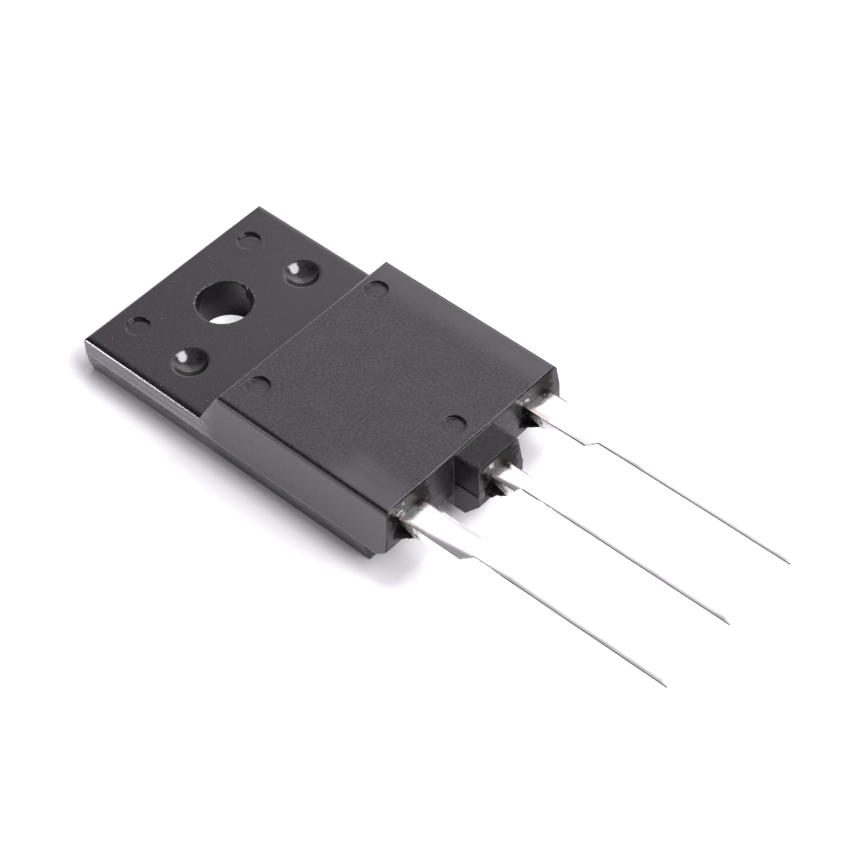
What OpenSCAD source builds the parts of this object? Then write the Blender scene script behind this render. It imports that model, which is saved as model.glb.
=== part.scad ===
// Power transistor in a fully moulded three-lead package.
// The origin is on the axis of the mounting hole, at the flat back face.
// +Z points out of the top face, +Y towards the end of the mounting tab, and the leads point to -Y.

/* [Moulded body] */
// Width over the parting line
body_w = 15.5; // [14:0.1:18]
// Thickness of the body over the chip
body_t = 5.5; // [5.2:0.05:7]
// Length from the end of the tab to the front wall
body_l = 24.95; // [24:0.05:28]
// Thickness of the mounting tab
tab_t = 3; // [2.8:0.05:3.4]
// Length of the tab, from its end to the foot of the step
tab_l = 10.05; // [9:0.05:11]
// How far the step leans back from its foot to its top edge
step_run = 1.4; // [0.4:0.05:2]
// Height of the parting line round the sides and the tab end
parting_z = 1.75; // [1.2:0.05:1.9]
// How far the lower mould half's sides are set in from the upper one's
lower_inset = 0.05; // [0.05:0.05:0.4]
// Draft angle of the thick body's side walls
side_draft = 6; // [2:0.5:9]
// Draft angle of the tab's walls
tab_draft = 5; // [2:0.5:9]
// Draft angle of the front wall above the leads
front_draft = 4.5; // [2:0.5:9]
// Draft angle of the lower half's long side walls
lower_side_draft = 13; // [2:0.5:14]
// Draft angle of the lower half's other walls
lower_draft = 3; // [2:0.5:9]
// Radius along the tab's long top edges
tab_edge_r = 0.4; // [0.1:0.05:0.6]
// Radius along the top edge at the end of the tab
end_edge_r = 0.3; // [0.1:0.05:0.3]
// Radius along the thick body's long top edges
side_edge_r = 0.35; // [0.1:0.05:0.6]
// Radius along the top edge of the step
step_edge_r = 0.35; // [0.1:0.05:0.6]
// Radius along the front top edge
front_edge_r = 0.1; // [0.05:0.05:0.3]
// Radius of the upright corners of the upper half
corner_r = 0.35; // [0.1:0.05:0.8]
// Radius of the upright corners of the lower half at the end of the tab
lower_end_corner_r = 0.35; // [0.1:0.05:1]
// Radius of the upright corners of the lower half below the front wall
lower_front_corner_r = 0.8; // [0.1:0.05:1]

/* [Front overhang] */
// How far the lower half stops short of the front wall
overhang_l = 1.7; // [1:0.05:2.5]
// Length of the sloping underside of the overhang
overhang_slope_l = 0.8; // [0.5:0.05:1.6]
// Height of the front wall's lower edge
overhang_z = 2.35; // [2:0.05:3]

/* [Centre block] */
// Width of the block round the centre lead, at its top
block_w = 3.45; // [2.6:0.05:4]
// How far the block stands out from the body's top front edge
block_l = 1.9; // [1:0.05:3]
// How far the block's top lies below the body's top
block_drop = 0.1; // [0.05:0.05:0.6]
// Draft angle of the block's walls
block_draft = 5; // [2:0.5:9]
// Radius along the block's two side top edges
block_edge_r = 0.25; // [0.1:0.05:0.4]
// Radius along the block's front top edge
block_front_r = 0.1; // [0.05:0.05:0.3]
// How far the lower half of the block stands out at its sides
block_ledge = 0.05; // [0.05:0.05:0.2]
// Height of the block's flat underside
block_under_z = 1.1; // [0.8:0.05:1.5]
// Height of the block's lower front edge
block_nose_z = 2.6; // [2:0.05:3]
// Length of the chamfer below the block's nose
block_nose_l = 1.2; // [0.5:0.05:1.6]

/* [Mounting hole] */
// Diameter of the mounting hole
hole_d = 3.6; // [3:0.1:4.2]
// Distance from the hole's axis to the end of the tab
hole_to_end = 4.55; // [4.2:0.05:5]

/* [Mould marks] */
// Opening radius of the two dimples left by the support pins
dimple_r = 1.13; // [0.8:0.01:1.4]
// Depth of the dimples
dimple_depth = 0.6; // [0.4:0.05:0.8]
// Distance between the two dimples
dimple_span = 9.7; // [9:0.1:10.5]
// Distance from the hole's axis to the dimples, towards the leads
dimple_back = 1.95; // [1:0.05:2.5]
// Radius of the round ejector marks
mark_r = 0.74; // [0.4:0.01:1]
// Depth of the ejector marks
mark_depth = 0.2; // [0.05:0.05:0.3]
// Distance between the two ejector marks near the end of the tab
tab_mark_span = 9.63; // [9:0.01:11]
// Distance from the end of the tab to its ejector marks
tab_mark_from_end = 1.92; // [1.4:0.01:2.4]
// Distance between the two ejector marks behind the step
body_mark_span = 10.16; // [9:0.01:11]
// Distance from the foot of the step to the marks behind it
body_mark_from_step = 2.58; // [2.5:0.01:4]
// Distance from the front wall to the front ejector mark
front_mark_from_front = 1.65; // [1.3:0.01:3]

/* [Leads] */
// Distance between neighbouring leads
pitch = 5.45; // [5.3:0.01:5.6]
// Thickness of the lead strip
lead_t = 0.85; // [0.5:0.05:0.9]
// Height of the underside of the leads
lead_z = 3.45; // [3.2:0.05:3.6]
// Width of the thin legs
leg_w = 0.75; // [0.5:0.05:1]
// Width of the wide part of the outer leads
shoulder_w = 2; // [1.4:0.1:2.4]
// Length of the wide part of the outer leads beyond the front wall
shoulder_l = 4.45; // [3:0.05:6]
// Length over which an outer lead narrows to its leg
shoulder_taper = 0.45; // [0.1:0.05:1]
// Width of the wide part of the centre lead
centre_shoulder_w = 1.5; // [1.2:0.1:2]
// Length of the wide part of the centre lead beyond the front wall
centre_shoulder_l = 3.65; // [3:0.05:6]
// Length over which the centre lead narrows to its leg
centre_taper = 0.15; // [0.05:0.05:1]
// Length of the leads beyond the front wall
lead_l = 18.6; // [10:0.1:24]
// Width of the bonding pads inside the body
pad_w = 2.9; // [2.4:0.1:3.2]
// Length of the bonding pads
pad_l = 2.4; // [2:0.1:3]
// Distance from the front wall to the bonding pads
pad_setback = 1.5; // [1:0.1:2.5]
// Diameter of the hole in each pad that the plastic locks into
lock_hole_d = 0.8; // [0.4:0.1:1.2]

/* [Heat spreader] */
// Width of the copper plate under the chip
spreader_w = 12.8; // [11:0.1:13.4]
// Thickness of the copper plate
spreader_t = 1.4; // [1:0.1:1.5]
// Thickness of the insulating plastic below the plate
insulation_t = 0.6; // [0.4:0.05:0.7]
// Distance from the front wall to the plate's front edge
spreader_setback = 3.4; // [3.2:0.1:5]
// How far the plate reaches past the hole's axis
spreader_reach = 1.2; // [0.5:0.1:2]
// Size of the cut corners of the plate
spreader_corner = 0.8; // [0.3:0.1:1.5]
// Thickness of plastic between the mounting hole and the plate
hole_wall = 1.4; // [1:0.1:2]
// Width of the centre lead where it rises from the plate
riser_w = 2; // [1.6:0.1:2.2]
// Length of the level stretch where the riser leaves the plate
riser_foot = 0.4; // [0.1:0.05:0.8]
// Length over which the riser climbs to the lead height
riser_run = 1.6; // [1.2:0.05:1.8]

/* [Chip] */
// Side of the square silicon chip
chip_w = 5.6; // [4:0.1:7]
// Thickness of the chip
chip_t = 0.35; // [0.2:0.05:0.5]
// Thickness of the solder below the chip
solder_t = 0.1; // [0.05:0.01:0.15]
// How far the solder shows round the chip
solder_rim = 0.15; // [0.05:0.05:0.4]
// Distance from the plate's front edge to the chip
chip_setback = 4; // [3.5:0.1:5]
// Diameter of the base wire
base_wire_d = 0.25; // [0.15:0.01:0.35]
// Diameter of the two emitter wires
emitter_wire_d = 0.4; // [0.3:0.01:0.5]
// Rise of a wire's arc above the straight line between its ends
wire_sag = 1.2; // [1.1:0.05:1.4]
// Distance from the chip's front edge to the wire bonds
bond_inset = 0.8; // [0.6:0.05:1.2]
// Distance between the two emitter wires
wire_gap = 1; // [0.8:0.1:1.4]
// Length of a wire's flattened foot, in wire diameters
foot_ratio = 2; // [1.5:0.1:3]
// Thickness of a wire's flattened foot, in wire diameters
foot_flat = 0.4; // [0.3:0.05:0.6]

/* [Hidden] */
$fn = 64;

// Reach of cutting shapes past the surface that they cut
past = 1;

// Places along the body, from the tab end to the front wall
end_y = hole_to_end;
foot_y = end_y - tab_l;
step_y = foot_y - step_run;
front_y = end_y - body_l;
lower_front_y = front_y + overhang_l;
front_top_y = front_y + (body_t - lead_z) * tan(front_draft);
front_low_y = front_y + (lead_z - overhang_z) * tan(lower_draft);
block_top_z = body_t - block_drop;
block_front_top_y = front_top_y - block_l;
block_front_y = block_front_top_y - (block_top_z - lead_z) * tan(block_draft);
block_half_w = block_w / 2 + (block_top_z - lead_z) * tan(block_draft);
mid_y = (foot_y + front_y) / 2;

// Places of the leads
lead_top = lead_z + lead_t;
tip_y = front_y - lead_l;
shoulder_end_y = front_y - shoulder_l;
centre_shoulder_end_y = front_y - centre_shoulder_l;
pad_front_y = front_y + pad_setback;
pad_back_y = pad_front_y + pad_l;
pad_mid_y = (pad_front_y + pad_back_y) / 2;

// Places of the plate, the solder and the chip
spreader_top = insulation_t + spreader_t;
spreader_front_y = front_y + spreader_setback;
chip_z = spreader_top + solder_t;
chip_top = chip_z + chip_t;
chip_front_y = spreader_front_y + chip_setback;
bond_y = chip_front_y + bond_inset;

// Point reached from a towards b after a distance d
function towards(a, b, d) = a + (b - a) / norm(b - a) * d;
// Half of the angle at corner p between its neighbours a and b
function half_angle(a, p, b) = acos((a - p) * (b - p) / (norm(a - p) * norm(b - p))) / 2;
// A half outline, from its first point round to the mirror image of that point
function mirrored(half) = concat(half, [for (i = [len(half) - 1:-1:0]) [-half[i][0], half[i][1]]]);

// What is cut away to round corner p of an outline, between its neighbours a and b
module corner_waste(a, p, b, r) {
    half = half_angle(a, p, b);
    t1 = towards(p, a, r / tan(half));
    t2 = towards(p, b, r / tan(half));
    centre = towards(p, (t1 + t2) / 2, r / sin(half));
    difference() {
        polygon([t1, towards(centre, p, 2 * norm(p - centre)), t2]);
        translate(centre) circle(r);
    }
}

// A polygon with some of its corners rounded. rounds holds pairs of a corner's index and its radius.
module rounded_polygon(points, rounds) {
    n = len(points);
    difference() {
        polygon(points);
        for (round = rounds) {
            i = round[0];
            corner_waste(points[(i + n - 1) % n], points[i], points[(i + 1) % n], round[1]);
        }
    }
}

// Extrudes a side outline, drawn as y and z, across the width w
module across(w) {
    rotate([90, 0, 90]) translate([0, 0, -w / 2]) linear_extrude(w) children();
}

// Extrudes an end outline, drawn as x and z, from one y to another
module along(from_y, to_y) {
    translate([0, max(from_y, to_y), 0]) rotate([90, 0, 0]) linear_extrude(abs(from_y - to_y)) children();
}

// Symmetric end outline with sloping sides, its top corners rounded
module drafted_end(half_w, low_z, high_z, draft, r) {
    top = half_w - (high_z - low_z) * tan(draft);
    rounded_polygon(
        [[-half_w, low_z], [half_w, low_z], [top, high_z], [-top, high_z]],
        [[2, r], [3, r]]
    );
}

// Upright block that bounds a moulded half seen from above, with two radii for its corners
module plan(half_w, to_y, front_r, end_r) {
    linear_extrude(body_t)
        rounded_polygon(
            [[-half_w, to_y], [half_w, to_y], [half_w, end_y], [-half_w, end_y]],
            [[0, front_r], [1, front_r], [2, end_r], [3, end_r]]
        );
}

// Upper half of the mounting tab
module tab_upper() {
    end_top_y = end_y - (tab_t - parting_z) * tan(tab_draft);
    intersection() {
        along(end_y, mid_y) drafted_end(body_w / 2, parting_z, tab_t, tab_draft, tab_edge_r);
        across(body_w)
            rounded_polygon(
                [[end_y, parting_z], [end_top_y, tab_t], [mid_y, tab_t], [mid_y, parting_z]],
                [[1, end_edge_r]]
            );
        plan(body_w / 2, front_y, corner_r, corner_r);
    }
}

// Upper half of the thick body, with the sloping step, the front wall and its overhang
module body_upper() {
    step_slope = step_run / (body_t - tab_t);
    intersection() {
        along(end_y, front_y) drafted_end(body_w / 2, parting_z, body_t, side_draft, side_edge_r);
        across(body_w)
            rounded_polygon(
                [
                    [foot_y + (tab_t - parting_z) * step_slope, parting_z],
                    [step_y, body_t],
                    [front_top_y, body_t],
                    [front_y, lead_z],
                    [front_low_y, overhang_z],
                    [front_y + overhang_slope_l, parting_z],
                ],
                [[1, step_edge_r], [2, front_edge_r]]
            );
        plan(body_w / 2, front_y, corner_r, corner_r);
    }
}

// Lower mould half, set in at the sides and cut short below the front wall
module body_lower() {
    half_w = body_w / 2 - lower_inset;
    side_lean = parting_z * tan(lower_side_draft);
    end_lean = parting_z * tan(lower_draft);
    intersection() {
        along(end_y, front_y)
            polygon([
                [-half_w + side_lean, 0],
                [half_w - side_lean, 0],
                [half_w, parting_z],
                [-half_w, parting_z],
            ]);
        across(body_w)
            polygon([
                [end_y, parting_z],
                [end_y - end_lean, 0],
                [lower_front_y + end_lean, 0],
                [lower_front_y, parting_z],
            ]);
        plan(half_w, lower_front_y, lower_front_corner_r, lower_end_corner_r);
    }
}

// Block round the centre lead, above the leads
module block_upper() {
    intersection() {
        along(lower_front_y, block_front_y)
            drafted_end(block_half_w, lead_z, block_top_z, block_draft, block_edge_r);
        across(body_w)
            rounded_polygon(
                [
                    [lower_front_y, lead_z],
                    [lower_front_y, block_top_z],
                    [block_front_top_y, block_top_z],
                    [block_front_y, lead_z],
                ],
                [[2, block_front_r]]
            );
    }
}

// Block round the centre lead, below the leads, with the chamfer under its nose
module block_lower() {
    half_w = block_half_w + block_ledge;
    lean = (lead_z - block_under_z) * tan(lower_draft);
    intersection() {
        along(lower_front_y, block_front_y)
            polygon([
                [-half_w + lean, block_under_z],
                [half_w - lean, block_under_z],
                [half_w, lead_z],
                [-half_w, lead_z],
            ]);
        across(body_w)
            polygon([
                [lower_front_y, block_under_z],
                [block_front_y + block_nose_l, block_under_z],
                [block_front_y, block_nose_z],
                [block_front_y, lead_z],
                [lower_front_y, lead_z],
            ]);
    }
}

// Round pocket of an ejector mark, cut down from the height z
module ejector_mark(x, y, z) {
    translate([x, y, z - mark_depth]) cylinder(h = mark_depth + past, r = mark_r);
}

// Dimple of a support pin, cut down from the top of the tab
module dimple(x) {
    ball_r = (dimple_r * dimple_r + dimple_depth * dimple_depth) / (2 * dimple_depth);
    translate([x, -dimple_back, tab_t + ball_r - dimple_depth]) sphere(ball_r);
}

// Plan of a lead, as a half outline from its inner end to its tip
module lead_strip(half) {
    translate([0, 0, lead_z]) linear_extrude(lead_t) polygon(mirrored(half));
}

// Outer lead, centred on x = 0: bonding pad, wide shoulder, taper and thin leg
module outer_lead() {
    difference() {
        lead_strip([
            [pad_w / 2, pad_back_y],
            [pad_w / 2, pad_front_y],
            [shoulder_w / 2, pad_front_y],
            [shoulder_w / 2, shoulder_end_y],
            [leg_w / 2, shoulder_end_y - shoulder_taper],
            [leg_w / 2, tip_y],
        ]);
        translate([0, pad_front_y, lead_z - past]) cylinder(h = lead_t + 2 * past, d = lock_hole_d);
    }
}

// Copper plate, open round the mounting hole
module spreader_plate() {
    half_w = spreader_w / 2;
    clear_r = hole_d / 2 + hole_wall;
    translate([0, 0, insulation_t])
        linear_extrude(spreader_t)
            difference() {
                polygon(mirrored([
                    [half_w - spreader_corner, spreader_reach],
                    [half_w, spreader_reach - spreader_corner],
                    [half_w, spreader_front_y + spreader_corner],
                    [half_w - spreader_corner, spreader_front_y],
                ]));
                circle(clear_r);
                translate([-clear_r, 0]) square([2 * clear_r, spreader_reach + past]);
            }
}

// Bent strip that climbs from the plate to the height of the leads
module riser() {
    low_z = spreader_top - lead_t;
    bend_y = spreader_front_y - riser_foot;
    level_y = bend_y - riser_run;
    climb = atan((lead_z - low_z) / riser_run);
    shift = lead_t * tan(climb / 2);
    across(riser_w)
        polygon([
            [spreader_front_y + spreader_corner, low_z],
            [bend_y, low_z],
            [level_y, lead_z],
            [level_y - lead_t, lead_z],
            [level_y - lead_t, lead_top],
            [level_y + shift, lead_top],
            [bend_y + shift, spreader_top],
            [spreader_front_y + spreader_corner, spreader_top],
        ]);
}

// Centre lead outside the riser
module centre_lead() {
    lead_strip([
        [centre_shoulder_w / 2, spreader_front_y - riser_foot - riser_run],
        [centre_shoulder_w / 2, centre_shoulder_end_y],
        [leg_w / 2, centre_shoulder_end_y - centre_taper],
        [leg_w / 2, tip_y],
    ]);
}

// Bond wire in an arc between two points on level faces, with a flattened foot at each end
module bond_wire(start, finish, d) {
    flat = finish - start;
    span = norm([flat[0], flat[1]]);
    rise = flat[2];
    chord = norm([span, rise]);
    arc_r = (chord * chord / 4 + wire_sag * wire_sag) / (2 * wire_sag);
    drop = arc_r - wire_sag;
    centre = [span / 2 + drop * rise / chord, rise / 2 - drop * span / chord];
    from_angle = atan2(rise - centre[1], span - centre[0]);
    to_angle = atan2(-centre[1], -centre[0]);
    foot = [foot_ratio * d, 1.4 * d, foot_flat * d];
    translate(start) rotate([0, 0, atan2(flat[1], flat[0])]) {
        difference() {
            translate([centre[0], 0, centre[1]])
                rotate([90, 0, 0])
                    rotate([0, 0, from_angle])
                        rotate_extrude(angle = to_angle - from_angle) translate([arc_r, 0]) circle(d = d);
            translate([-past, -past, -past]) cube([2 * past, 2 * past, past]);
            translate([span - past, -past, rise - past]) cube([2 * past, 2 * past, past]);
        }
        translate([-foot[0] / 2, -foot[1] / 2, 0]) cube(foot);
        translate([span - foot[0] / 2, -foot[1] / 2, rise]) cube(foot);
    }
}

// Black plastic, moulded round everything that it holds
module moulded_body() {
    color([0.17, 0.17, 0.18])
        difference() {
            union() {
                tab_upper();
                body_upper();
                body_lower();
                block_upper();
                block_lower();
            }
            translate([0, 0, -past]) cylinder(h = tab_t + 2 * past, d = hole_d);
            for (side = [-1, 1]) {
                dimple(side * dimple_span / 2);
                ejector_mark(side * tab_mark_span / 2, end_y - tab_mark_from_end, tab_t);
                ejector_mark(side * body_mark_span / 2, foot_y - body_mark_from_step, body_t);
            }
            ejector_mark(0, front_y + front_mark_from_front, body_t);
            heat_spreader();
            left_lead();
            right_lead();
            chip_solder();
            silicon_chip();
            base_wire();
            inner_emitter_wire();
            outer_emitter_wire();
        }
}

// Copper plate and centre lead, stamped from one strip
module heat_spreader() {
    color([0.82, 0.8, 0.76])
        union() {
            spreader_plate();
            riser();
            centre_lead();
        }
}

module left_lead() {
    color([0.85, 0.84, 0.81]) translate([-pitch, 0, 0]) outer_lead();
}

module right_lead() {
    color([0.85, 0.84, 0.81]) translate([pitch, 0, 0]) outer_lead();
}

// Thin layer of solder that fixes the chip to the plate
module chip_solder() {
    side = chip_w + 2 * solder_rim;
    color([0.6, 0.61, 0.63])
        translate([-side / 2, chip_front_y - solder_rim, spreader_top]) cube([side, side, solder_t]);
}

module silicon_chip() {
    color([0.32, 0.34, 0.4]) translate([-chip_w / 2, chip_front_y, chip_z]) cube([chip_w, chip_w, chip_t]);
}

// Wire from the chip to the left lead
module base_wire() {
    color([0.8, 0.8, 0.82])
        bond_wire(
            [-chip_w / 2 + bond_inset, bond_y, chip_top],
            [-pitch, pad_mid_y, lead_top],
            base_wire_d
        );
}

// Heavier wire from the chip to the right lead. side is -1 for the inner wire and 1 for the outer one.
module emitter_wire(side) {
    color([0.8, 0.8, 0.82])
        bond_wire(
            [chip_w / 2 - bond_inset - wire_gap / 2 + side * wire_gap / 2, bond_y, chip_top],
            [pitch + side * wire_gap / 2, pad_mid_y, lead_top],
            emitter_wire_d
        );
}

module inner_emitter_wire() {
    emitter_wire(-1);
}

module outer_emitter_wire() {
    emitter_wire(1);
}

moulded_body();
heat_spreader();
left_lead();
right_lead();
silicon_chip();
chip_solder();
base_wire();
inner_emitter_wire();
outer_emitter_wire();
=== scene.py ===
import math
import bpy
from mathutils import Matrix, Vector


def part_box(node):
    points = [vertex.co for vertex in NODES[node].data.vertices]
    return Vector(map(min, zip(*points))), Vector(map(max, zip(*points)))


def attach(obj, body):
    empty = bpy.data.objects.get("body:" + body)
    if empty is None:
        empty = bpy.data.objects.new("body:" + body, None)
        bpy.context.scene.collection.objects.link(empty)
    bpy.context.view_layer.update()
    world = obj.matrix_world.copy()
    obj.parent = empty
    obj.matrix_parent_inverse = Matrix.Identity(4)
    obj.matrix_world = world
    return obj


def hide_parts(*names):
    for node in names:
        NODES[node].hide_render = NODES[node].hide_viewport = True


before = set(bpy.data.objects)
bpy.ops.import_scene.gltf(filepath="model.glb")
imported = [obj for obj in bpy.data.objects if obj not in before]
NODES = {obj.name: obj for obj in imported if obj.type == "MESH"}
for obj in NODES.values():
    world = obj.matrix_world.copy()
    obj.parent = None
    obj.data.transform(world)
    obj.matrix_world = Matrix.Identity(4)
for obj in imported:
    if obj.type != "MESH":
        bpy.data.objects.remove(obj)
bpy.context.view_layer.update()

from types import SimpleNamespace

import bmesh
import bpy
from mathutils import Matrix, Vector, noise

SCENE = bpy.context.scene
MM = 0.001

# Places on the part, in millimetres, as in the CAD
HALF_W = 7.75
END_Y = 4.55
FOOT_Y = -5.5            # foot of the step
EDGE_Y = FOOT_Y - 1.3    # its top edge
FRONT_Y = -20.4
BLOCK_FRONT_Y = -22.31
TIP_Y = -39.0
TAB_TOP_Z = 3.0
PARTING_Z = 1.75
LEAD_TOP_Z = 4.3
LEAD_UNDER_Z = 3.45
PITCH = 5.45
SHOULDER_HALF_W = 1.0
CENTRE_HALF_W = 0.75
CORNER_R = 0.35
HOLE_R = 1.8
DIMPLE_X = 4.85
DIMPLE_Y = -1.95


# ---------------------------------------------------------------- node helpers

class Graph:
    """Adds shader nodes to a tree; an input given as a socket is linked, and any other value is set."""

    def __init__(self, tree):
        self.tree = tree

    def add(self, kind, inputs=None, **settings):
        node = self.tree.nodes.new(kind)
        for name, value in settings.items():
            setattr(node, name, value)
        for key, value in (inputs or {}).items():
            if isinstance(value, bpy.types.NodeSocket):
                self.tree.links.new(value, node.inputs[key])
            else:
                node.inputs[key].default_value = value
        return node

    def math(self, operation, a, b=0.0, c=0.0):
        return self.add("ShaderNodeMath", {0: a, 1: b, 2: c}, operation=operation).outputs[0]

    def vector(self, operation, a, b=(0, 0, 0), out=0):
        return self.add("ShaderNodeVectorMath", {0: a, 1: b}, operation=operation).outputs[out]

    def scaled(self, vector, factors):
        return self.vector("MULTIPLY", vector, factors)

    def flat_length(self, vector, factors=(1.0, 1.0, 0.0)):
        """Length of a vector after scaling, seen from above unless told otherwise."""
        return self.vector("LENGTH", self.scaled(vector, factors), out=1)

    def split(self, vector):
        return self.add("ShaderNodeSeparateXYZ", {0: vector}).outputs

    def times(self, product, *factors):
        for factor in factors:
            product = self.math("MULTIPLY", product, factor)
        return product

    def most(self, a, b):
        return self.math("MAXIMUM", a, b)

    def minus(self, a, b):
        return self.math("SUBTRACT", a, b)

    def size(self, value):
        return self.math("ABSOLUTE", value)

    def rest(self, value):
        """One minus the value."""
        return self.minus(1.0, value)

    def lane(self, x):
        """Across the part, the middle of the nearest lead."""
        return self.times(self.math("ROUND", self.math("DIVIDE", x, PITCH)), PITCH)

    def noise(self, vector, scale, detail=2.0, rough=0.5, distortion=0.0):
        return self.add("ShaderNodeTexNoise", {
            "Vector": vector, "Scale": scale, "Detail": detail, "Roughness": rough, "Distortion": distortion,
        }).outputs["Fac"]

    def smooth(self, value, low, high, to_low=0.0, to_high=1.0):
        return self.add("ShaderNodeMapRange", {
            "Value": value, "From Min": low, "From Max": high, "To Min": to_low, "To Max": to_high,
        }, interpolation_type="SMOOTHSTEP").outputs[0]

    def linear(self, value, low, high, to_low, to_high):
        return self.add("ShaderNodeMapRange", {
            "Value": value, "From Min": low, "From Max": high, "To Min": to_low, "To Max": to_high,
        }).outputs[0]

    def mix(self, factor, a, b):
        node = self.add("ShaderNodeMix", {0: factor}, data_type="RGBA")
        for socket, value in ((node.inputs[6], a), (node.inputs[7], b)):
            if isinstance(value, bpy.types.NodeSocket):
                self.tree.links.new(value, socket)
            else:
                socket.default_value = (*value, 1.0)
        return node.outputs[2]

    def blend(self, factor, a, b):
        """Mixes two numbers."""
        return self.add("ShaderNodeMix", {0: factor, 2: a, 3: b}, data_type="FLOAT").outputs[0]

    def specks(self, vector, scale, size, share):
        """Round specks of one size (as a part of a cell), in the given share of the cells."""
        cells = self.add("ShaderNodeTexVoronoi", {"Vector": vector, "Scale": scale, "Randomness": 1.0})
        near = self.smooth(cells.outputs["Distance"], size * 0.5, size, 1.0, 0.0)
        chosen = self.add("ShaderNodeSeparateColor", {0: cells.outputs["Color"]}).outputs[0]
        return self.math("MULTIPLY", near, self.math("LESS_THAN", chosen, share))


def new_material(name, **constants):
    """A material with a Principled shader, whose even values are set on its own sockets."""
    made = bpy.data.materials.new(name)
    made.use_nodes = True
    graph = Graph(made.node_tree)
    shader = made.node_tree.nodes["Principled BSDF"]
    for socket, value in constants.items():
        shader.inputs[socket.replace("_", " ")].default_value = value
    position = graph.add("ShaderNodeTexCoord").outputs["Object"]
    millimetres = graph.scaled(position, (1000, 1000, 1000))
    return made, graph, shader, millimetres


def connect(graph, shader, color=None, roughness=None, normal=None):
    for name, socket in (("Base Color", color), ("Roughness", roughness), ("Normal", normal)):
        if socket is not None:
            graph.tree.links.new(socket, shader.inputs[name])


def bumped(graph, height, microns, normal=None):
    inputs = {"Height": height, "Distance": microns * 1e-6, "Strength": 1.0}
    if normal is not None:
        inputs["Normal"] = normal
    return graph.add("ShaderNodeBump", inputs).outputs[0]


# ---------------------------------------------------------------- materials

def epoxy_zones(graph, p):
    """The moulding's zones, as numbers from 0 to 1 made from the place and the way that a face looks."""
    x, y, z = graph.split(p)
    facing = graph.split(graph.add("ShaderNodeNewGeometry").outputs["True Normal"])
    sideways = graph.size(facing[0])
    zone = SimpleNamespace(x=x, y=y, z=z)

    zone.upward = graph.smooth(facing[2], 0.9, 0.98)
    zone.behind_step = graph.smooth(y, FOOT_Y - 0.12, FOOT_Y - 0.02, 1.0, 0.0)
    zone.top = graph.times(zone.behind_step, graph.smooth(y, FRONT_Y + 0.1, FRONT_Y + 0.14), zone.upward,
                           graph.smooth(z, 5.2, 5.3))
    zone.flank = graph.times(zone.behind_step, graph.rest(zone.upward))
    zone.shoulder = graph.times(graph.smooth(z, 5.0, 5.45), graph.smooth(sideways, 0.2, 0.4))

    # long sides; the polish of the tab fades slowly behind the step there
    zone.side = graph.times(graph.smooth(sideways, 0.8, 0.95), graph.math("GREATER_THAN", graph.size(x), 7.0))
    zone.fade = graph.blend(zone.side, zone.behind_step, graph.smooth(y, FOOT_Y - 1.4, FOOT_Y + 0.1, 1.0, 0.0))
    zone.under = graph.times(zone.side, graph.smooth(z, PARTING_Z - 0.02, PARTING_Z + 0.02, 1.0, 0.0))
    zone.brim = graph.times(graph.smooth(graph.size(x), 6.7, 7.0), graph.smooth(y, FOOT_Y + 0.2, FOOT_Y + 0.6),
                            graph.smooth(z, 2.0, 2.2))

    # the dimples, with their rims, and the polished surface inside them
    from_pin = graph.vector("SUBTRACT", graph.vector("ABSOLUTE", p), (DIMPLE_X, -DIMPLE_Y, 0.0))
    zone.pin = graph.times(graph.smooth(graph.flat_length(from_pin), 1.2, 1.45, 1.0, 0.0),
                           graph.smooth(y, -0.3, -0.6))
    zone.polished = graph.times(zone.pin, graph.smooth(z, TAB_TOP_Z - 0.03, TAB_TOP_Z - 0.07))

    # the front wall and all that stands in front of it
    zone.frontal = graph.smooth(graph.times(facing[1], -1.0), 0.35, 0.6)
    zone.forward = graph.most(graph.smooth(y, FRONT_Y + 0.12, FRONT_Y),
                              graph.times(zone.frontal, graph.smooth(y, FRONT_Y + 0.7, FRONT_Y + 0.5)))
    return zone


def root_shade_masks(graph, p, zone):
    """Painted shade round each lead on the front wall: dark matt patches, tinted brown like rosin, stand in for the
    shade and dark reflection beside the roots, with glossy gaps left in them; the root webs are darkened the same
    way.
    """
    lean = graph.minus(zone.x, graph.lane(zone.x))
    across = graph.minus(graph.size(lean), 0.9)
    above = graph.minus(graph.size(graph.minus(zone.z, 4.2)), 0.9)
    apart = graph.most(graph.most(across, above), 0.0)
    apart = graph.math("ADD", apart, graph.linear(graph.noise(p, 2.2, 3.0, 0.6), 0.3, 0.7, -0.35, 0.35))
    glossy_gaps = graph.times(graph.smooth(graph.noise(p, 2.4, 1.0, 0.5), 0.49, 0.54), graph.smooth(lean, -0.4, -0.65),
                        zone.frontal, graph.smooth(zone.z, 5.3, 5.1))
    # painted shade: matt, near-black patches round each lead root on the front wall, except the glossy gaps
    painted_root_shade = graph.times(graph.smooth(apart, 0.35, 0.8, 1.0, 0.0), zone.frontal, zone.forward, graph.rest(glossy_gaps))
    # the root webs: dark and matt, as painted shade beside each root
    webs = graph.most(
        graph.times(graph.smooth(zone.y, FRONT_Y - 0.02, FRONT_Y - 0.08),
                    graph.math("GREATER_THAN", graph.size(zone.x), 3.0)),
        graph.smooth(zone.y, BLOCK_FRONT_Y - 0.02, BLOCK_FRONT_Y - 0.08))
    return graph.most(painted_root_shade, webs), graph.times(glossy_gaps, zone.forward)


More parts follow.
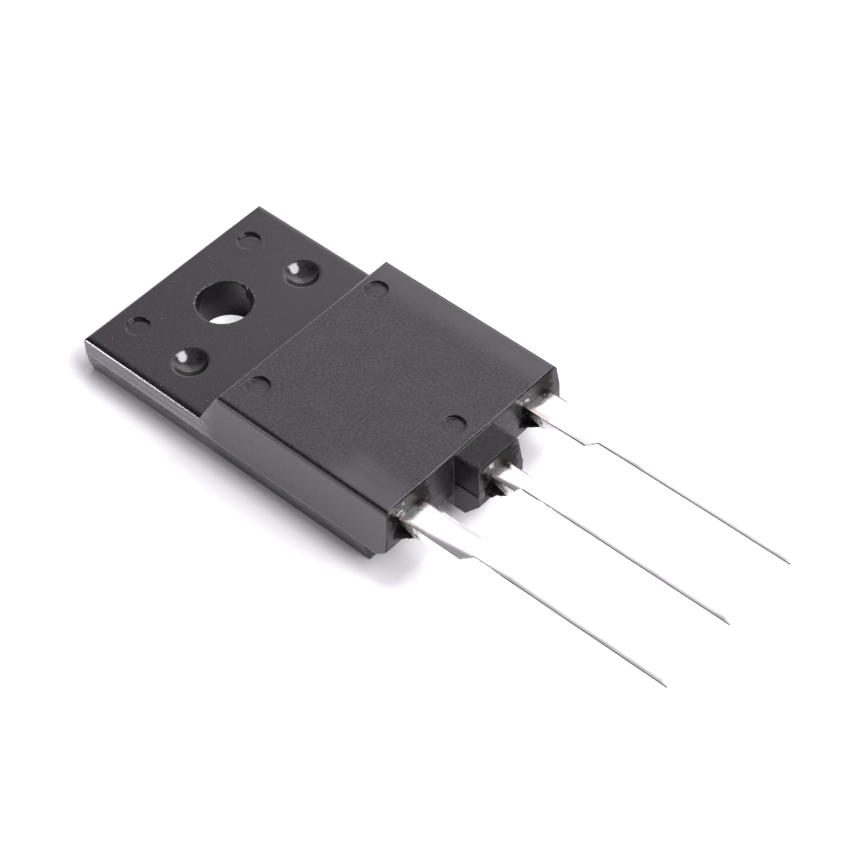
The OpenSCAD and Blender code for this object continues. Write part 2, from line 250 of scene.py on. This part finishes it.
def epoxy_material():
    """Black moulding compound: a fine spark-eroded grain on the thick body, a polished tab and dimples."""
    made, graph, shader, p = new_material("black_epoxy", IOR=1.72)
    zone = epoxy_zones(graph, p)
    painted_root_shade, glossy_gaps = root_shade_masks(graph, p, zone)
    streaks = graph.noise(graph.scaled(p, (1.0, 0.16, 1.0)), 1.1, 4.0, 0.6)

    # colour: slow clouds, mottled skin, light filler specks and dust
    tone = graph.mix(graph.noise(p, 0.35, 3.0, 0.55), (0.0024, 0.0021, 0.0027), (0.0052, 0.0046, 0.0057))
    mottle = graph.smooth(graph.noise(p, 6.0, 4.0, 0.8), 0.38, 0.64)
    tone = graph.mix(graph.times(mottle, graph.blend(zone.top, 0.6, 1.3)), tone, (0.0300, 0.0280, 0.0312))
    filler = graph.times(graph.specks(p, 5.0, 0.26, 0.16), graph.linear(zone.top, 0, 1, 0.25, 0.8))
    tone = graph.mix(filler, tone, (0.050, 0.047, 0.050))
    dusty = graph.smooth(graph.noise(p, 0.42, 2.0, 0.5), 0.38, 0.52)
    dust = graph.most(graph.specks(p, 1.3, 0.055, 0.25), graph.times(graph.specks(p, 2.3, 0.085, 0.4), dusty))
    dust = graph.times(dust, graph.blend(zone.top, 1.0, 0.4))
    tone = graph.mix(graph.times(dust, zone.upward), tone, (0.19, 0.18, 0.19))
    # worn haze along the right edge of the top and at its front left corner, and a pale smudge there
    haze = graph.most(graph.smooth(zone.x, 4.6, 6.6),
                      graph.times(graph.smooth(zone.x, -6.4, -4.3, 1.0, 0.0), graph.smooth(zone.y, -14.6, -17.2)))
    haze = graph.times(haze, graph.linear(streaks, 0.2, 0.8, 0.6, 1.2), zone.top)
    tone = graph.mix(haze, tone, (0.050, 0.047, 0.051))
    from_smudge = graph.vector("SUBTRACT", p, (-5.9, -16.6, 5.5))
    smudge = graph.times(graph.smooth(graph.flat_length(from_smudge, (1.0, 0.42, 1.0)), 0.3, 1.5, 1.0, 0.0),
                         graph.smooth(streaks, 0.38, 0.66), zone.upward)
    tone = graph.mix(graph.times(smudge, 0.55), tone, (0.060, 0.056, 0.062))
    # drawn lines along the sides of the tab, as the mould was ground
    ground = graph.smooth(graph.noise(graph.scaled(p, (0.4, 0.05, 3.0)), 1.0, 2.0, 0.6), 0.42, 0.6)
    tone = graph.mix(graph.times(graph.rest(zone.fade), zone.side, ground), tone, (0.085, 0.078, 0.088))
    # painted highlights: a pale line on the top edge of the step, partly wear, and one along the parting line for the
    # highlight on its flash edge
    step_highlight_and_wear = graph.times(graph.smooth(graph.size(graph.minus(zone.y, EDGE_Y)), 0.07, 0.2, 1.0, 0.0),
                       graph.smooth(zone.z, 4.9, 5.2), graph.linear(streaks, 0.2, 0.8, 0.5, 1.1))
    tone = graph.mix(step_highlight_and_wear, tone, (0.120, 0.110, 0.120))
    # painted highlight along the parting line on the sides
    line = graph.times(graph.smooth(graph.size(graph.minus(zone.z, PARTING_Z + 0.06)), 0.05, 0.13, 1.0, 0.0),
                       graph.linear(streaks, 0.2, 0.8, 0.4, 1.2), zone.side)
    tone = graph.mix(line, tone, (0.110, 0.102, 0.112))
    # chipped rim of the hole
    from_rim = graph.size(graph.minus(graph.flat_length(p), HOLE_R + 0.07))
    chips = graph.times(graph.smooth(from_rim, 0.03, 0.09, 1.0, 0.0),
                        graph.smooth(zone.z, TAB_TOP_Z - 0.15, TAB_TOP_Z - 0.05),
                        graph.smooth(graph.noise(p, 3.5, 2.0, 0.5), 0.55, 0.64))
    tone = graph.mix(chips, tone, (0.10, 0.095, 0.10))
    # painted shade round the lead roots and on the root webs: near-black with a brown tint
    tone = graph.mix(painted_root_shade, tone, (0.0045, 0.003, 0.0025))

    # gloss: strongest low on the tab's sides, almost none under the painted shade round the lead roots
    tab = graph.blend(zone.side, 0.41, graph.linear(zone.z, PARTING_Z, 2.9, 1.0, 0.64))
    roof = graph.linear(graph.noise(p, 0.8, 3.0, 0.6), 0.3, 0.7, 0.40, 0.46)
    thick = graph.blend(zone.flank, roof, graph.blend(zone.shoulder, 0.545, 0.12))
    gloss = graph.blend(zone.fade, tab, thick)
    for part, level in ((zone.polished, 0.56), (zone.under, 1.0), (zone.forward, 0.21), (painted_root_shade, 0.035),
                        (glossy_gaps, 0.34)):
        gloss = graph.blend(part, gloss, level)
    graph.tree.links.new(gloss, shader.inputs["Specular IOR Level"])
    sheen = graph.mix(zone.forward, (1.0, 0.915, 1.0), (1.0, 0.95, 0.93))
    sheen = graph.mix(zone.polished, sheen, (1.0, 0.95, 0.985))
    graph.tree.links.new(sheen, shader.inputs["Specular Tint"])

    # roughness: polished tab, satin walls, grained top
    rough = graph.blend(zone.fade, graph.blend(zone.side, 0.10, 0.20), 0.34)
    rough = graph.blend(zone.top, rough, 0.44)
    rough = graph.blend(zone.polished, rough, 0.12)
    for extra in (graph.linear(streaks, 0.3, 0.7, -0.02, 0.03), graph.times(dust, 0.3), graph.times(smudge, 0.08)):
        rough = graph.math("ADD", rough, extra)

    # relief: rounded arrises, slow flow waves, spark-eroded grain
    radius = graph.blend(graph.most(zone.brim, zone.pin), 0.12 * MM, 0.34 * MM)
    normal = graph.add("ShaderNodeBevel", {"Radius": radius}, samples=8).outputs[0]
    waves = graph.noise(graph.scaled(p, (1.0, 0.6, 1.0)), 0.8, 2.0, 0.4)
    normal = bumped(graph, waves, 2.4, normal)
    grain = graph.noise(p, 9.0, 3.0, 0.65)
    normal = bumped(graph, graph.times(grain, graph.blend(zone.fade, 0.25, 1.0)), 3.6, normal)
    fine = graph.noise(p, 26.0, 2.0, 0.6)
    fine = graph.times(fine, graph.blend(zone.top, graph.blend(zone.flank, 0.12, 0.4), 1.0))
    normal = bumped(graph, fine, 1.6, normal)
    connect(graph, shader, tone, rough, normal)
    return made


def tin_material():
    """Bright tin over copper: soft reflow ripples, duller patches, copper and brown rosin stain at the roots, with
    painted dark reflection of the wall on the lead sides and right edges near the roots.
    """
    made, graph, shader, p = new_material("bright_tin", Metallic=1.0)
    x, y, z = graph.split(p)
    facing = graph.split(graph.add("ShaderNodeNewGeometry").outputs["True Normal"])
    sideways = graph.smooth(graph.size(facing[0]), 0.2, 0.6)
    stretched = graph.scaled(p, (1.0, 0.3, 1.0))
    dull = graph.noise(stretched, 2.4, 4.0, 0.6)
    spots = graph.noise(p, 3.2, 3.0, 0.6)
    color = graph.mix(graph.smooth(dull, 0.35, 0.7), (0.97, 0.965, 0.955), (0.92, 0.91, 0.89))

    # how far a point is in front of the wall that its lead comes out of, and how far across the lead
    central = graph.math("LESS_THAN", graph.size(x), 2.0)
    ahead = graph.minus(graph.blend(central, FRONT_Y, BLOCK_FRONT_Y), y)
    reach = graph.math("ADD", ahead, graph.linear(spots, 0.3, 0.7, -0.4, 0.4))
    across = graph.math("DIVIDE", graph.minus(x, graph.lane(x)), graph.blend(central, SHOULDER_HALF_W, CENTRE_HALF_W))

    stain = graph.most(
        graph.times(graph.smooth(ahead, 0.15, 0.75, 1.0, 0.0), graph.smooth(spots, 0.46, 0.66)),
        graph.times(graph.smooth(ahead, 0.9, 2.4, 1.0, 0.0), sideways, graph.smooth(spots, 0.42, 0.62)))
    # brown rosin stain with painted reflection and shade: the rolled right edge near the root is dark where it
    # mirrors the dark front wall, and the right half of the top has painted shade right at the root
    flux_and_reflection = graph.most(
        graph.times(graph.smooth(across, 0.78, 0.93), graph.smooth(reach, 1.2, 2.1, 1.0, 0.0)),
        graph.times(graph.smooth(across, 0.0, 0.5), graph.smooth(reach, 0.1, 0.5, 1.0, 0.0)))
    blush = graph.times(graph.smooth(across, -0.55, -0.85), graph.smooth(reach, 1.2, 2.0, 1.0, 0.0),
                        graph.rest(sideways))
    # painted reflection: the lead sides are dark near the wall, where they mirror the dark front wall
    painted_wall_reflection = graph.times(sideways, graph.smooth(reach, 0.8, 1.5, 1.0, 0.0))
    sheared = graph.times(graph.smooth(y, TIP_Y + 0.06, TIP_Y + 0.02), graph.smooth(facing[1], -0.7, -0.9))
    for part, amount, tone in (
        (stain, 0.45, (0.42, 0.34, 0.30)),
        (flux_and_reflection, 0.9, (0.10, 0.058, 0.045)),
        (blush, 0.5, (0.50, 0.37, 0.31)),
        (painted_wall_reflection, 0.92, (0.06, 0.05, 0.045)),
        (sheared, 0.7, (0.66, 0.50, 0.44)),
    ):
        color = graph.mix(graph.times(part, amount), color, tone)

    rough = graph.blend(graph.smooth(dull, 0.3, 0.7), 0.14, 0.22)
    rough = graph.math("ADD", rough, graph.times(stain, 0.14))
    normal = bumped(graph, graph.noise(stretched, 1.5, 2.0, 0.45), 13.0)
    normal = bumped(graph, spots, 1.6, normal)
    connect(graph, shader, color, rough, normal)
    return made


def silicon_material():
    """Polished chip: aluminium pads and their cell lines on top, sawn grey-blue edges."""
    made, graph, shader, p = new_material("polished_silicon", IOR=3.4, Specular_IOR_Level=0.5)
    x, y, z = graph.split(p)
    low, high = ([number / MM for number in corner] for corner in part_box("silicon_chip"))
    middle_y = (low[1] + high[1]) / 2
    half = (high[0] - low[0]) / 2
    reach = graph.most(graph.size(x), graph.size(graph.minus(y, middle_y)))
    bars = graph.math("GREATER_THAN", graph.math("FRACT", graph.times(x, 2.5)), 0.12)
    pad = graph.times(graph.smooth(reach, half - 0.45, half - 0.4, 1.0, 0.0),
                      graph.smooth(z, high[2] - 0.02, high[2] - 0.01), bars)
    frost = graph.noise(p, 30.0, 3.0, 0.6)
    sawn = graph.noise(graph.scaled(p, (1, 1, 0.2)), 22.0, 3.0, 0.7)
    base = graph.mix(frost, (0.10, 0.11, 0.145), (0.14, 0.15, 0.19))
    metal = graph.mix(frost, (0.60, 0.60, 0.62), (0.74, 0.74, 0.75))
    color = graph.mix(pad, base, metal)
    rough = graph.blend(pad, graph.linear(sawn, 0.3, 0.7, 0.10, 0.24), 0.33)
    normal = bumped(graph, graph.math("ADD", pad, graph.times(frost, 0.3)), 4.0)
    connect(graph, shader, color, rough, normal)
    return made


def solder_material():
    """Dull solder with a crystalline skin."""
    made, graph, shader, p = new_material("dull_solder", Metallic=1.0)
    crystal = graph.add("ShaderNodeTexVoronoi", {"Vector": p, "Scale": 3.5}).outputs["Distance"]
    dirt = graph.noise(p, 1.4, 4.0, 0.6)
    color = graph.mix(dirt, (0.46, 0.465, 0.48), (0.64, 0.64, 0.65))
    rough = graph.linear(crystal, 0.0, 0.7, 0.34, 0.62)
    normal = bumped(graph, graph.math("ADD", crystal, graph.times(dirt, 0.6)), 8.0)
    connect(graph, shader, color, rough, normal)
    return made


def wire_material():
    """Drawn aluminium bond wire with fine lines along it."""
    made, graph, shader, p = new_material("drawn_aluminium", Metallic=1.0)
    lines = graph.noise(graph.scaled(p, (9.0, 0.9, 4.0)), 3.0, 3.0, 0.6)
    haze = graph.noise(p, 2.0, 3.0, 0.5)
    color = graph.mix(haze, (0.80, 0.80, 0.82), (0.90, 0.90, 0.91))
    rough = graph.linear(lines, 0.3, 0.7, 0.22, 0.38)
    normal = bumped(graph, lines, 1.5)
    connect(graph, shader, color, rough, normal)
    return made


# ---------------------------------------------------------------- pieces

def new_object(name, mesh, slot, shade, *nodes):
    """Links a piece, gives it its material, and lets it ride and stand for CAD nodes; its slot is not used."""
    mesh.materials.clear()
    mesh.materials.append(shade)
    piece = bpy.data.objects.new(name, mesh)
    SCENE.collection.objects.link(piece)
    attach(piece, "root")
    if nodes:
        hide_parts(*nodes)
    return piece


def stamped_copy(name, node, shade, front_y):
    """The node's shape as a stamped and tinned part: rolled top arrises, sharper lower ones, a faint waver."""
    source = NODES[node].data
    made = bmesh.new()
    made.from_mesh(source)
    bmesh.ops.remove_doubles(made, verts=made.verts, dist=0.002 * MM)
    bmesh.ops.dissolve_limit(made, angle_limit=math.radians(2), verts=made.verts, edges=made.edges)
    weight = made.edges.layers.float.new("bevel_weight_edge")
    for edge in made.edges:
        if len(edge.link_faces) != 2 or edge.calc_face_angle(0.0) < math.radians(30):
            continue
        middle = (edge.verts[0].co + edge.verts[1].co) / 2 / MM
        if middle.y > front_y + 0.4:
            continue
        high = all(v.co.z > (LEAD_TOP_Z - 0.02) * MM for v in edge.verts)
        edge[weight] = 1.0 if high else 0.45
    # cuts along the legs, so that the strip can waver a little
    for step in range(15):
        place = (0, (TIP_Y + 0.6 + 0.75 * step) * MM, 0)
        geometry = made.verts[:] + made.edges[:] + made.faces[:]
        bmesh.ops.bisect_plane(made, geom=geometry, dist=0.0005 * MM, plane_co=place, plane_no=(0, 1, 0))
    for vertex in made.verts:
        p = vertex.co / MM
        ahead = front_y - p.y
        if 0.6 < ahead:
            fade = min(1.0, (ahead - 0.6) / 3) * min(1.0, max(0.0, (p.y - TIP_Y) / 1.5))
            lane = round(p.x / PITCH) * 7.3
            vertex.co.x += 0.012 * fade * noise.noise(Vector((lane, p.y * 0.33, 0.0))) * MM
            vertex.co.z += 0.016 * fade * noise.noise(Vector((lane, p.y * 0.27, 9.0))) * MM
    mesh = bpy.data.meshes.new(name)
    made.to_mesh(mesh)
    made.free()
    mesh.shade_smooth()
    piece = new_object(name, mesh, "tinned_copper", shade, node)
    bevel = piece.modifiers.new("arrises", "BEVEL")
    bevel.limit_method = "WEIGHT"
    bevel.width = 0.085 * MM
    bevel.segments = 3
    bevel.harden_normals = True
    sharp = piece.modifiers.new("flats", "EDGE_SPLIT")
    sharp.split_angle = math.radians(35)
    return piece


def parting_path():
    """Points and outward directions along the parting line: left side, tab end, right side, in millimetres."""
    low_y, high_y, spacing = FRONT_Y + 0.9, END_Y - CORNER_R, 0.06
    corner_x = HALF_W - CORNER_R
    along = int((high_y - low_y) / spacing)
    across = int(2 * corner_x / spacing)
    side = [low_y + (high_y - low_y) * k / along for k in range(along)]
    turns = [math.radians(90 * k / 8) for k in range(9)]

    points = [((-HALF_W, y), (-1.0, 0.0)) for y in side]
    for turn in turns:
        out = (-math.cos(turn), math.sin(turn))
        points.append(((-corner_x + CORNER_R * out[0], high_y + CORNER_R * out[1]), out))
    points += [((-corner_x + 2 * corner_x * k / across, END_Y), (0.0, 1.0)) for k in range(1, across)]
    for turn in turns:
        out = (math.sin(turn), math.cos(turn))
        points.append(((corner_x + CORNER_R * out[0], high_y + CORNER_R * out[1]), out))
    points += [((HALF_W, y), (1.0, 0.0)) for y in reversed(side)]
    return points


def swept(name, shade, runs):
    """One piece of moulding compound from runs of five-sided rings, each ring given in millimetres."""
    made = bmesh.new()
    for run in runs:
        rings = [[made.verts.new((x * MM, y * MM, z * MM)) for x, y, z in ring] for ring in run]
        for ring, after in zip(rings, rings[1:]):
            for k in range(5):
                made.faces.new((ring[k], ring[(k + 1) % 5], after[(k + 1) % 5], after[k]))
        made.faces.new(rings[0][::-1])
        made.faces.new(rings[-1])
    bmesh.ops.recalc_face_normals(made, faces=made.faces)
    mesh = bpy.data.meshes.new(name)
    made.to_mesh(mesh)
    made.free()
    mesh.shade_smooth()
    return new_object(name, mesh, "moulding_compound", shade)


def parting_flash(shade):
    """Thin uneven fin that the two mould halves leave along the parting line."""
    rings = []
    path = parting_path()
    for index, ((x, y), (out_x, out_y)) in enumerate(path):
        wear = noise.noise(Vector((x * 1.7, y * 1.7, 3.0))) + 0.5 * noise.noise(Vector((x * 6, y * 6, 8.0)))
        end = min(1.0, index / 12, (len(path) - 1 - index) / 12)
        fin = (0.010 + 0.008 * wear) * max(0.15, end)
        profile = ((-0.03, 0.022), (fin * 0.8, 0.014), (fin, 0.0), (fin * 0.7, -0.012), (-0.03, -0.016))
        rings.append([(x + out_x * reach, y + out_y * reach, PARTING_Z + rise) for reach, rise in profile])
    return swept("parting_flash", shade, [rings])


def root_shade_webs(shade):
    """Ragged webs of resin that bled along the sides of each lead in front of the wall; they are made dark and matt,
    as painted shade for the dark reflection and shade beside each root.
    """
    runs = []
    count, length = 12, 1.15
    for lane, half, wall in ((-PITCH, SHOULDER_HALF_W, FRONT_Y), (0.0, CENTRE_HALF_W, BLOCK_FRONT_Y),
                             (PITCH, SHOULDER_HALF_W, FRONT_Y)):
        for side in (-1, 1):
            edge = lane + side * (half - 0.03)
            rings = []
            for k in range(count + 1):
                part = k / count
                y = wall + 0.05 - length * part
                ragged = 1.0 + 0.35 * noise.noise(Vector((lane * 3.1 + side, part * 5.0, 2.0)))
                wide = (0.62 * (1 - part) ** 1.3 * ragged + 0.02) if k < count else 0.02
                low = LEAD_UNDER_Z - (0.5 * (1 - part) ** 0.8 * ragged)
                high = LEAD_UNDER_Z + 0.42 * (1 - 0.75 * part)
                profile = ((0.0, high), (wide * 0.45, high * 0.62 + low * 0.38), (wide, low + 0.06),
                           (wide * 0.8, low), (0.0, low + 0.1))
                rings.append([(edge + side * out, y, z) for out, z in profile])
            runs.append(rings)
    return swept("root_shade_webs", shade, runs)


# ---------------------------------------------------------------- studio

# The camera, as fitted to the photograph: degrees, millimetres, and the focal length in pixels
VIEW_AZIMUTH, VIEW_ELEVATION, VIEW_ROLL = -46.1866, 48.7011, -2.6111
VIEW_BACK, VIEW_RIGHT, VIEW_UP = 165.0624, 12.1628, -5.5118
FOCAL_PIXELS, PHOTO_PIXELS, SENSOR_MM = 2663.626, 850.0, 36.0


def make_camera():
    azimuth, elevation, roll = (math.radians(a) for a in (VIEW_AZIMUTH, VIEW_ELEVATION, VIEW_ROLL))
    back = Vector((
        math.sin(azimuth) * math.cos(elevation),
        -math.cos(azimuth) * math.cos(elevation),
        math.sin(elevation),
    ))
    level = Vector((math.cos(azimuth), math.sin(azimuth), 0.0))
    steep = back.cross(level)
    right = level * math.cos(roll) + steep * math.sin(roll)
    up = steep * math.cos(roll) - level * math.sin(roll)
    place = (back * VIEW_BACK + right * VIEW_RIGHT + up * VIEW_UP) * MM
    data = bpy.data.cameras.new("photo_view")
    data.sensor_width = SENSOR_MM
    data.lens = SENSOR_MM * FOCAL_PIXELS / PHOTO_PIXELS
    data.clip_start = 0.01
    data.clip_end = 10.0
    camera = bpy.data.objects.new("photo_view", data)
    camera.matrix_world = Matrix((
        (right.x, up.x, back.x, place.x),
        (right.y, up.y, back.y, place.y),
        (right.z, up.z, back.z, place.z),
        (0, 0, 0, 1),
    ))
    SCENE.collection.objects.link(camera)
    SCENE.camera = camera


def direction(bearing, height):
    """Unit vector for a bearing from +Y towards +X and a height above the floor, in degrees."""
    bearing, height = math.radians(bearing), math.radians(height)
    return Vector((math.sin(bearing) * math.cos(height), math.cos(bearing) * math.cos(height), math.sin(height)))


TINT = (1.0, 0.975, 1.03)    # of all the light


def soft_box(name, bearing, height, distance, width, depth, radiance, shape="RECTANGLE"):
    """Soft box that faces the part; its brightness is given as seen in a mirror."""
    light = bpy.data.lights.new(name, "AREA")
    light.shape = shape
    light.size, light.size_y = width, depth
    area = width * depth * (math.pi / 4 if shape == "ELLIPSE" else 1.0)
    light.energy = radiance * math.pi * area
    light.color = TINT
    lamp = bpy.data.objects.new(name, light)
    lamp.location = direction(bearing, height) * distance
    lamp.rotation_euler = (-lamp.location).to_track_quat("-Z", "Y").to_euler()
    lamp.visible_camera = False
    SCENE.collection.objects.link(lamp)


# Brightness of the walls round the set by bearing: bright card from the back to the right, dark on the left
WALLS = [
    (-180, 0.5), (-150, 0.35), (-125, 0.25), (-60, 0.08), (-28, 0.1), (-12, 0.26), (6, 0.62), (22, 0.82), (37, 0.84),
    (42, 1.14), (47, 1.5), (60, 1.65), (78, 1.7), (96, 1.6), (116, 0.5), (130, 0.4), (180, 0.5),
]
WALL_MOST = 2.0


def make_world():
    world = bpy.data.worlds.new("studio")
    SCENE.world = world
    world.use_nodes = True
    world.node_tree.nodes.clear()
    graph = Graph(world.node_tree)
    way = graph.add("ShaderNodeTexCoord").outputs["Generated"]
    x, y, z = graph.split(way)
    bearing = graph.math("ARCTAN2", x, y)
    ramp = graph.add("ShaderNodeValToRGB", {0: graph.linear(bearing, -math.pi, math.pi, 0.0, 1.0)})
    stops = ramp.color_ramp.elements
    while len(stops) < len(WALLS):
        stops.new(0.5)
    for stop, (angle, level) in zip(stops, WALLS):
        stop.position = (angle + 180) / 360
        stop.color = (level / WALL_MOST,) * 3 + (1.0,)
    walls = graph.times(ramp.outputs[0], WALL_MOST)
    # the walls fade towards a dim ceiling, and the far table is white
    lit = graph.blend(graph.smooth(z, 0.745, 0.985), walls, 0.3)
    lit = graph.blend(graph.smooth(z, -0.02, 0.0, 1.0, 0.0), lit, 1.0)
    tinted = graph.vector("SCALE", TINT)
    graph.tree.links.new(lit, tinted.node.inputs["Scale"])
    around = graph.add("ShaderNodeBackground", {"Color": tinted, "Strength": 1.0})
    white = graph.add("ShaderNodeBackground", {"Color": (1, 1, 1, 1), "Strength": 1.0})
    seen = graph.add("ShaderNodeLightPath").outputs["Is Camera Ray"]
    both = graph.add("ShaderNodeMixShader", {0: seen, 1: around.outputs[0], 2: white.outputs[0]})
    graph.add("ShaderNodeOutputWorld", {0: both.outputs[0]})


# Where the body stands on the table: the middle and half the sides, in millimetres
FOOTPRINT_Y, FOOTPRINT_HALF_X, FOOTPRINT_HALF_Y = -7.93, 7.6, 12.4


def make_floor():
    mesh = bpy.data.meshes.new("floor")
    mesh.from_pydata([(-0.5, -0.5, 0), (0.5, -0.5, 0), (0.5, 0.5, 0), (-0.5, 0.5, 0)], [], [(0, 1, 2, 3)])
    floor = bpy.data.objects.new("floor", mesh)
    SCENE.collection.objects.link(floor)
    made = bpy.data.materials.new("white_table")
    made.use_nodes = True
    graph = Graph(made.node_tree)
    made.node_tree.nodes.clear()
    paper = graph.add("ShaderNodeBsdfDiffuse", {"Color": (0.93, 0.925, 0.935, 1)})
    path = graph.add("ShaderNodeLightPath")
    seen, mirrored = path.outputs["Is Camera Ray"], path.outputs["Is Glossy Ray"]
    spot = graph.add("ShaderNodeNewGeometry").outputs["Position"]
    # painted light: past a band round the footprint the table is lifted towards white, a little over-exposed, which
    # leaves a painted contact shade in that band; a painted pool of light under the hole lifts the shadow seen
    # through it
    painted_hole_light = graph.smooth(graph.vector("LENGTH", spot, out=1), 1.9 * MM, 2.3 * MM, 0.62, 0.0)
    beside = graph.vector("ABSOLUTE", graph.vector("SUBTRACT", spot, (0.0, FOOTPRINT_Y * MM, 0.0)))
    beside = graph.vector("SUBTRACT", beside, (FOOTPRINT_HALF_X * MM, FOOTPRINT_HALF_Y * MM, 0.0))
    beside = graph.flat_length(graph.vector("MAXIMUM", beside, (0.0, 0.0, 0.0)))
    away = graph.smooth(beside, 0.3 * MM, 1.3 * MM, 0.0, 0.22)
    extra = graph.most(graph.times(painted_hole_light, seen), graph.times(away, graph.most(seen, mirrored)))
    lift = graph.add("ShaderNodeEmission", {"Color": (1, 1, 1, 1), "Strength": extra})
    both = graph.add("ShaderNodeAddShader", {0: paper.outputs[0], 1: lift.outputs[0]})
    graph.add("ShaderNodeOutputMaterial", {0: both.outputs[0]})
    mesh.materials.append(made)


def make_studio():
    SCENE.view_settings.view_transform = "Standard"
    make_world()
    make_floor()
    soft_box("key", 158, 45, 0.50, 0.45, 0.38, 8.8, "ELLIPSE")
    soft_box("low_strip", -51.5, 4.2, 0.45, 0.118, 0.064, 36.0)


# ---------------------------------------------------------------- build

make_camera()
make_studio()

EPOXY = epoxy_material()
TIN = tin_material()
NODES["moulded_body"].material_slots[0].material = EPOXY
NODES["silicon_chip"].material_slots[0].material = silicon_material()
NODES["chip_solder"].material_slots[0].material = solder_material()
WIRE = wire_material()
for name in ("base_wire", "inner_emitter_wire", "outer_emitter_wire"):
    NODES[name].material_slots[0].material = WIRE
for name in ("left_lead", "right_lead", "heat_spreader"):
    NODES[name].material_slots[0].material = TIN

stamped_copy("left_lead_tinned", "left_lead", TIN, FRONT_Y)
stamped_copy("right_lead_tinned", "right_lead", TIN, FRONT_Y)
stamped_copy("centre_lead_and_plate", "heat_spreader", TIN, BLOCK_FRONT_Y)
parting_flash(EPOXY)
root_shade_webs(EPOXY)
